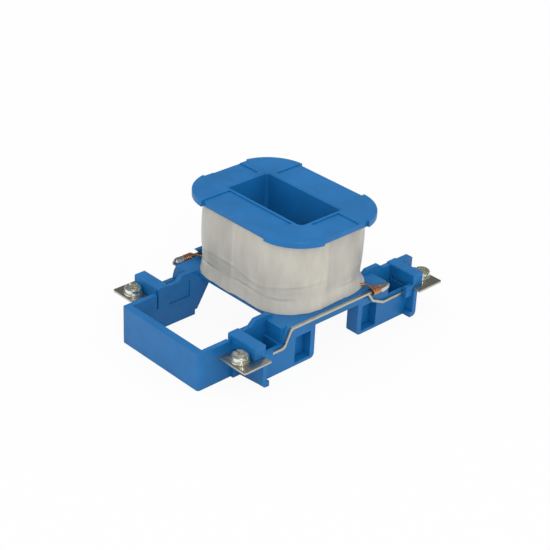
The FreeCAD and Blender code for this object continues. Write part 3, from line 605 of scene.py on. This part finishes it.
class CoilLeads(bpy.types.Operator):
    """Wrapped ends of the winding wire and their solder joints"""

    bl_idname = "coil.leads"
    bl_label = "Leads"

    # In millimetres: half width of the prong, where the wire comes out of the wrap (across and
    # along, back from the first turn), where the first turn lies, and the bow on the way there
    PRONG = 0.68
    EXIT_ACROSS = 24.6
    EXIT_BACK = 2.6
    EXIT_UP = 0.3
    FIRST_TURN = 16.5
    BOW = 1.3
    LIFT = 0.35
    TURNS = 4
    STEPS = 20
    WAY = 12
    # The solder runs on past the prong by this much
    RUN_ON = 0.9

    def execute(self, context):
        copper = enamelled_copper()
        tin = soft_solder()
        for side, sign in SIDES:
            self.wire(side, sign, copper)
            self.joint(side, sign, tin)
        return {"FINISHED"}

    def wire(self, side, sign, copper):
        look = settings("coil_metal")
        radius = look.wire / 2
        low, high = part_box(f"solder_{side}")
        axis = (low + high) / 2
        core = self.PRONG * MM + radius
        first = self.FIRST_TURN * MM
        start = Vector((self.EXIT_ACROSS * MM * sign, (first - self.EXIT_BACK * MM) * sign,
                        axis.z + core + self.EXIT_UP * MM))
        above = Vector((axis.x, first * sign, axis.z + core))
        path = []
        for i in range(self.WAY):
            share = i / self.WAY
            arch = math.sin(share * math.pi) * MM
            path.append(start.lerp(above, share)
                        + Vector((0.0, self.BOW * arch * sign, self.LIFT * arch)))
        for i in range(self.TURNS * self.STEPS + 1):
            turn = i / self.STEPS
            angle = turn * math.tau
            # Wound by hand: a little loose, a little apart
            loose = 1.0 + 0.09 * math.sin(i * 0.31 + sign)
            path.append(Vector((
                axis.x + math.sin(angle) * core * loose * sign,
                (first + turn * look.wire * 1.02) * sign,
                axis.z + math.cos(angle) * core * loose)))
        shape = bmesh.new()
        wire_along(shape, path, radius)
        outward(shape)
        piece = as_object(f"wire_{side}", shape, copper, 50.0)
        fit_in(piece, "wire", f"lead_{side}")

    def joint(self, side, sign, tin):
        low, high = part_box(f"solder_{side}")
        run_on = self.RUN_ON * MM
        axis = (low + high) / 2 + Vector((0.0, run_on * sign, 0.0))
        half = (high - low) / 2
        half.y += run_on
        shape = bmesh.new()
        bmesh.ops.create_icosphere(shape, subdivisions=5, radius=1.0)
        for vert in shape.verts:
            place = vert.co.copy()
            lump = 0.93 + 0.14 * noise.noise(place * 1.6 + Vector((sign * 3.0, 0.0, 0.0)))
            # Slumped a little to the underside, and full towards both ends
            taper = 1.0 + 0.35 * place.y ** 2
            vert.co = Vector((place.x * half.x * lump * taper, place.y * half.y,
                              place.z * half.z * lump * taper - 0.06 * MM)) + axis
        piece = as_object(f"joint_{side}", shape, tin, 60.0)
        fit_in(piece, "solder", f"solder_{side}")


class CoilStage(bpy.types.Operator):
    """Floor, lamps and camera"""

    bl_idname = "coil.stage"
    bl_label = "Stage"

    # The camera looks at this place: to its right, up the picture, and above the underside, in mm
    LOOK_RIGHT = -1.82
    LOOK_UP = -3.84
    LOOK_ABOVE = 20.0
    # The floor lies this far under the part, so that the two never share a face
    FLOOR_GAP = 0.05
    # Place and size of each square lamp, in metres
    LAMPS = {"key": ((0.66, -0.42, 0.50), 0.22), "fill": ((-0.30, -0.80, 0.40), 0.60),
             "top": ((0.10, -0.06, 0.85), 0.40)}

    def execute(self, context):
        self.floor()
        self.lamps()
        self.camera()
        return {"FINISHED"}

    def floor(self):
        look = settings("coil_stage")
        shape = bmesh.new()
        bmesh.ops.create_grid(shape, x_segments=1, y_segments=1, size=1.5)
        bmesh.ops.translate(shape, verts=shape.verts[:],
                            vec=(0.0, 0.0, CAD_BOX[0][2] - self.FLOOR_GAP * MM))
        material, shader = new_material("White paper", linear3("#DCDCDC"), Roughness=0.9)
        seen = add_node(material, "ShaderNodeLightPath")
        white = add_node(material, "ShaderNodeEmission", Color=(1.0, 1.0, 1.0, 1.0), Strength=1.0)
        shown = shader.outputs[0]
        for ray, share in (("Is Glossy Ray", look.floor_shine), ("Is Transmission Ray", 0.93),
                           ("Is Camera Ray", 0.93)):
            part = add_node(material, "ShaderNodeMath", {0: seen.outputs[ray]},
                            operation="MULTIPLY", _1=share)
            shown = add_node(material, "ShaderNodeMixShader", {
                0: part.outputs[0], 1: shown, 2: white.outputs[0]}).outputs[0]
        output = material.node_tree.nodes["Material Output"]
        join(material, output.inputs["Surface"], shown)
        ground = as_object("floor", shape, material)

    def lamps(self):
        look = settings("coil_stage")
        world = bpy.data.worlds.new("Studio")
        world.use_nodes = True
        bpy.context.scene.world = world
        tree = world.node_tree
        base = tree.nodes["Background"]
        base.inputs["Color"].default_value = (1.0, 1.0, 1.0, 1.0)
        base.inputs["Strength"].default_value = look.sky
        seen = tree.nodes.new("ShaderNodeLightPath")

        def instead(before, ray, strength):
            """Another strength of white for one kind of ray."""
            white = tree.nodes.new("ShaderNodeBackground")
            white.inputs["Color"].default_value = (1.0, 1.0, 1.0, 1.0)
            white.inputs["Strength"].default_value = strength
            mix = tree.nodes.new("ShaderNodeMixShader")
            tree.links.new(mix.inputs[0], seen.outputs[ray])
            tree.links.new(mix.inputs[1], before)
            tree.links.new(mix.inputs[2], white.outputs[0])
            return mix.outputs[0]

        # The room behind the part is dim, so that the tops keep their colour
        shown = instead(base.outputs[0], "Is Glossy Ray", look.room)
        shown = instead(shown, "Is Camera Ray", 1.0)
        tree.links.new(tree.nodes["World Output"].inputs["Surface"], shown)
        for name, (place, size) in self.LAMPS.items():
            data = bpy.data.lights.new(name, "AREA")
            data.shape = "SQUARE"
            data.size = size
            data.energy = getattr(look, name)
            lamp = bpy.data.objects.new(name, data)
            lamp.location = place
            lamp.rotation_mode = "QUATERNION"
            lamp.rotation_quaternion = (-Vector(place)).to_track_quat("-Z", "Y")
            bpy.context.scene.collection.objects.link(lamp)

    def camera(self):
        look = settings("coil_stage")
        a, e, r = look.azimuth, look.elevation, look.roll
        back = Vector((math.sin(a) * math.cos(e), -math.cos(a) * math.cos(e), math.sin(e)))
        right = Vector((math.cos(a), math.sin(a), 0.0))
        up = back.cross(right)
        target = (right * self.LOOK_RIGHT + up * self.LOOK_UP
                  + Vector((0.0, 0.0, self.LOOK_ABOVE))) * MM
        across = right * math.cos(r) + up * math.sin(r)
        over = up * math.cos(r) - right * math.sin(r)
        data = bpy.data.cameras.new("camera")
        data.lens = look.lens
        data.clip_start, data.clip_end = 0.01, 20.0
        camera = bpy.data.objects.new("camera", data)
        turn = Matrix((across, over, back)).transposed()
        camera.matrix_world = Matrix.Translation(target + back * look.distance) @ turn.to_4x4()
        bpy.context.scene.collection.objects.link(camera)
        bpy.context.scene.camera = camera


class CoilPanel(bpy.types.Panel):
    """Lists the pieces and their settings"""

    bl_idname = "VIEW3D_PT_coil"
    bl_label = "Contactor coil"
    bl_space_type = "VIEW_3D"
    bl_region_type = "UI"
    bl_category = "Coil"

    def draw(self, context):
        for group, operators in PANEL_ROWS:
            box = self.layout.box()
            chosen = getattr(context.scene, group)
            for name in chosen.bl_rna.properties.keys():
                if name not in ("rna_type", "name"):
                    box.prop(chosen, name)
            for operator in operators:
                box.operator(operator.bl_idname)


GROUPS = {"coil_frame": FrameSettings, "coil_wrap": WrapSettings, "coil_metal": MetalSettings,
          "coil_stage": StageSettings}
PANEL_ROWS = (("coil_frame", (CoilFrame,)), ("coil_wrap", (CoilWrap,)),
              ("coil_metal", (CoilTerminals, CoilLeads)), ("coil_stage", (CoilStage,)))
CLASSES = (*GROUPS.values(), CoilFrame, CoilWrap, CoilTerminals, CoilLeads, CoilStage, CoilPanel)


def register():
    for item in CLASSES:
        bpy.utils.register_class(item)
    for name, group in GROUPS.items():
        setattr(bpy.types.Scene, name, bpy.props.PointerProperty(type=group))


def unregister():
    for name in GROUPS:
        delattr(bpy.types.Scene, name)
    for item in reversed(CLASSES):
        bpy.utils.unregister_class(item)


def main():
    register()
    bpy.context.scene.view_settings.view_transform = "Standard"
    bpy.ops.coil.frame()
    bpy.ops.coil.wrap()
    bpy.ops.coil.terminals()
    bpy.ops.coil.leads()
    bpy.ops.coil.stage()


if __name__ == "__main__":
    main()
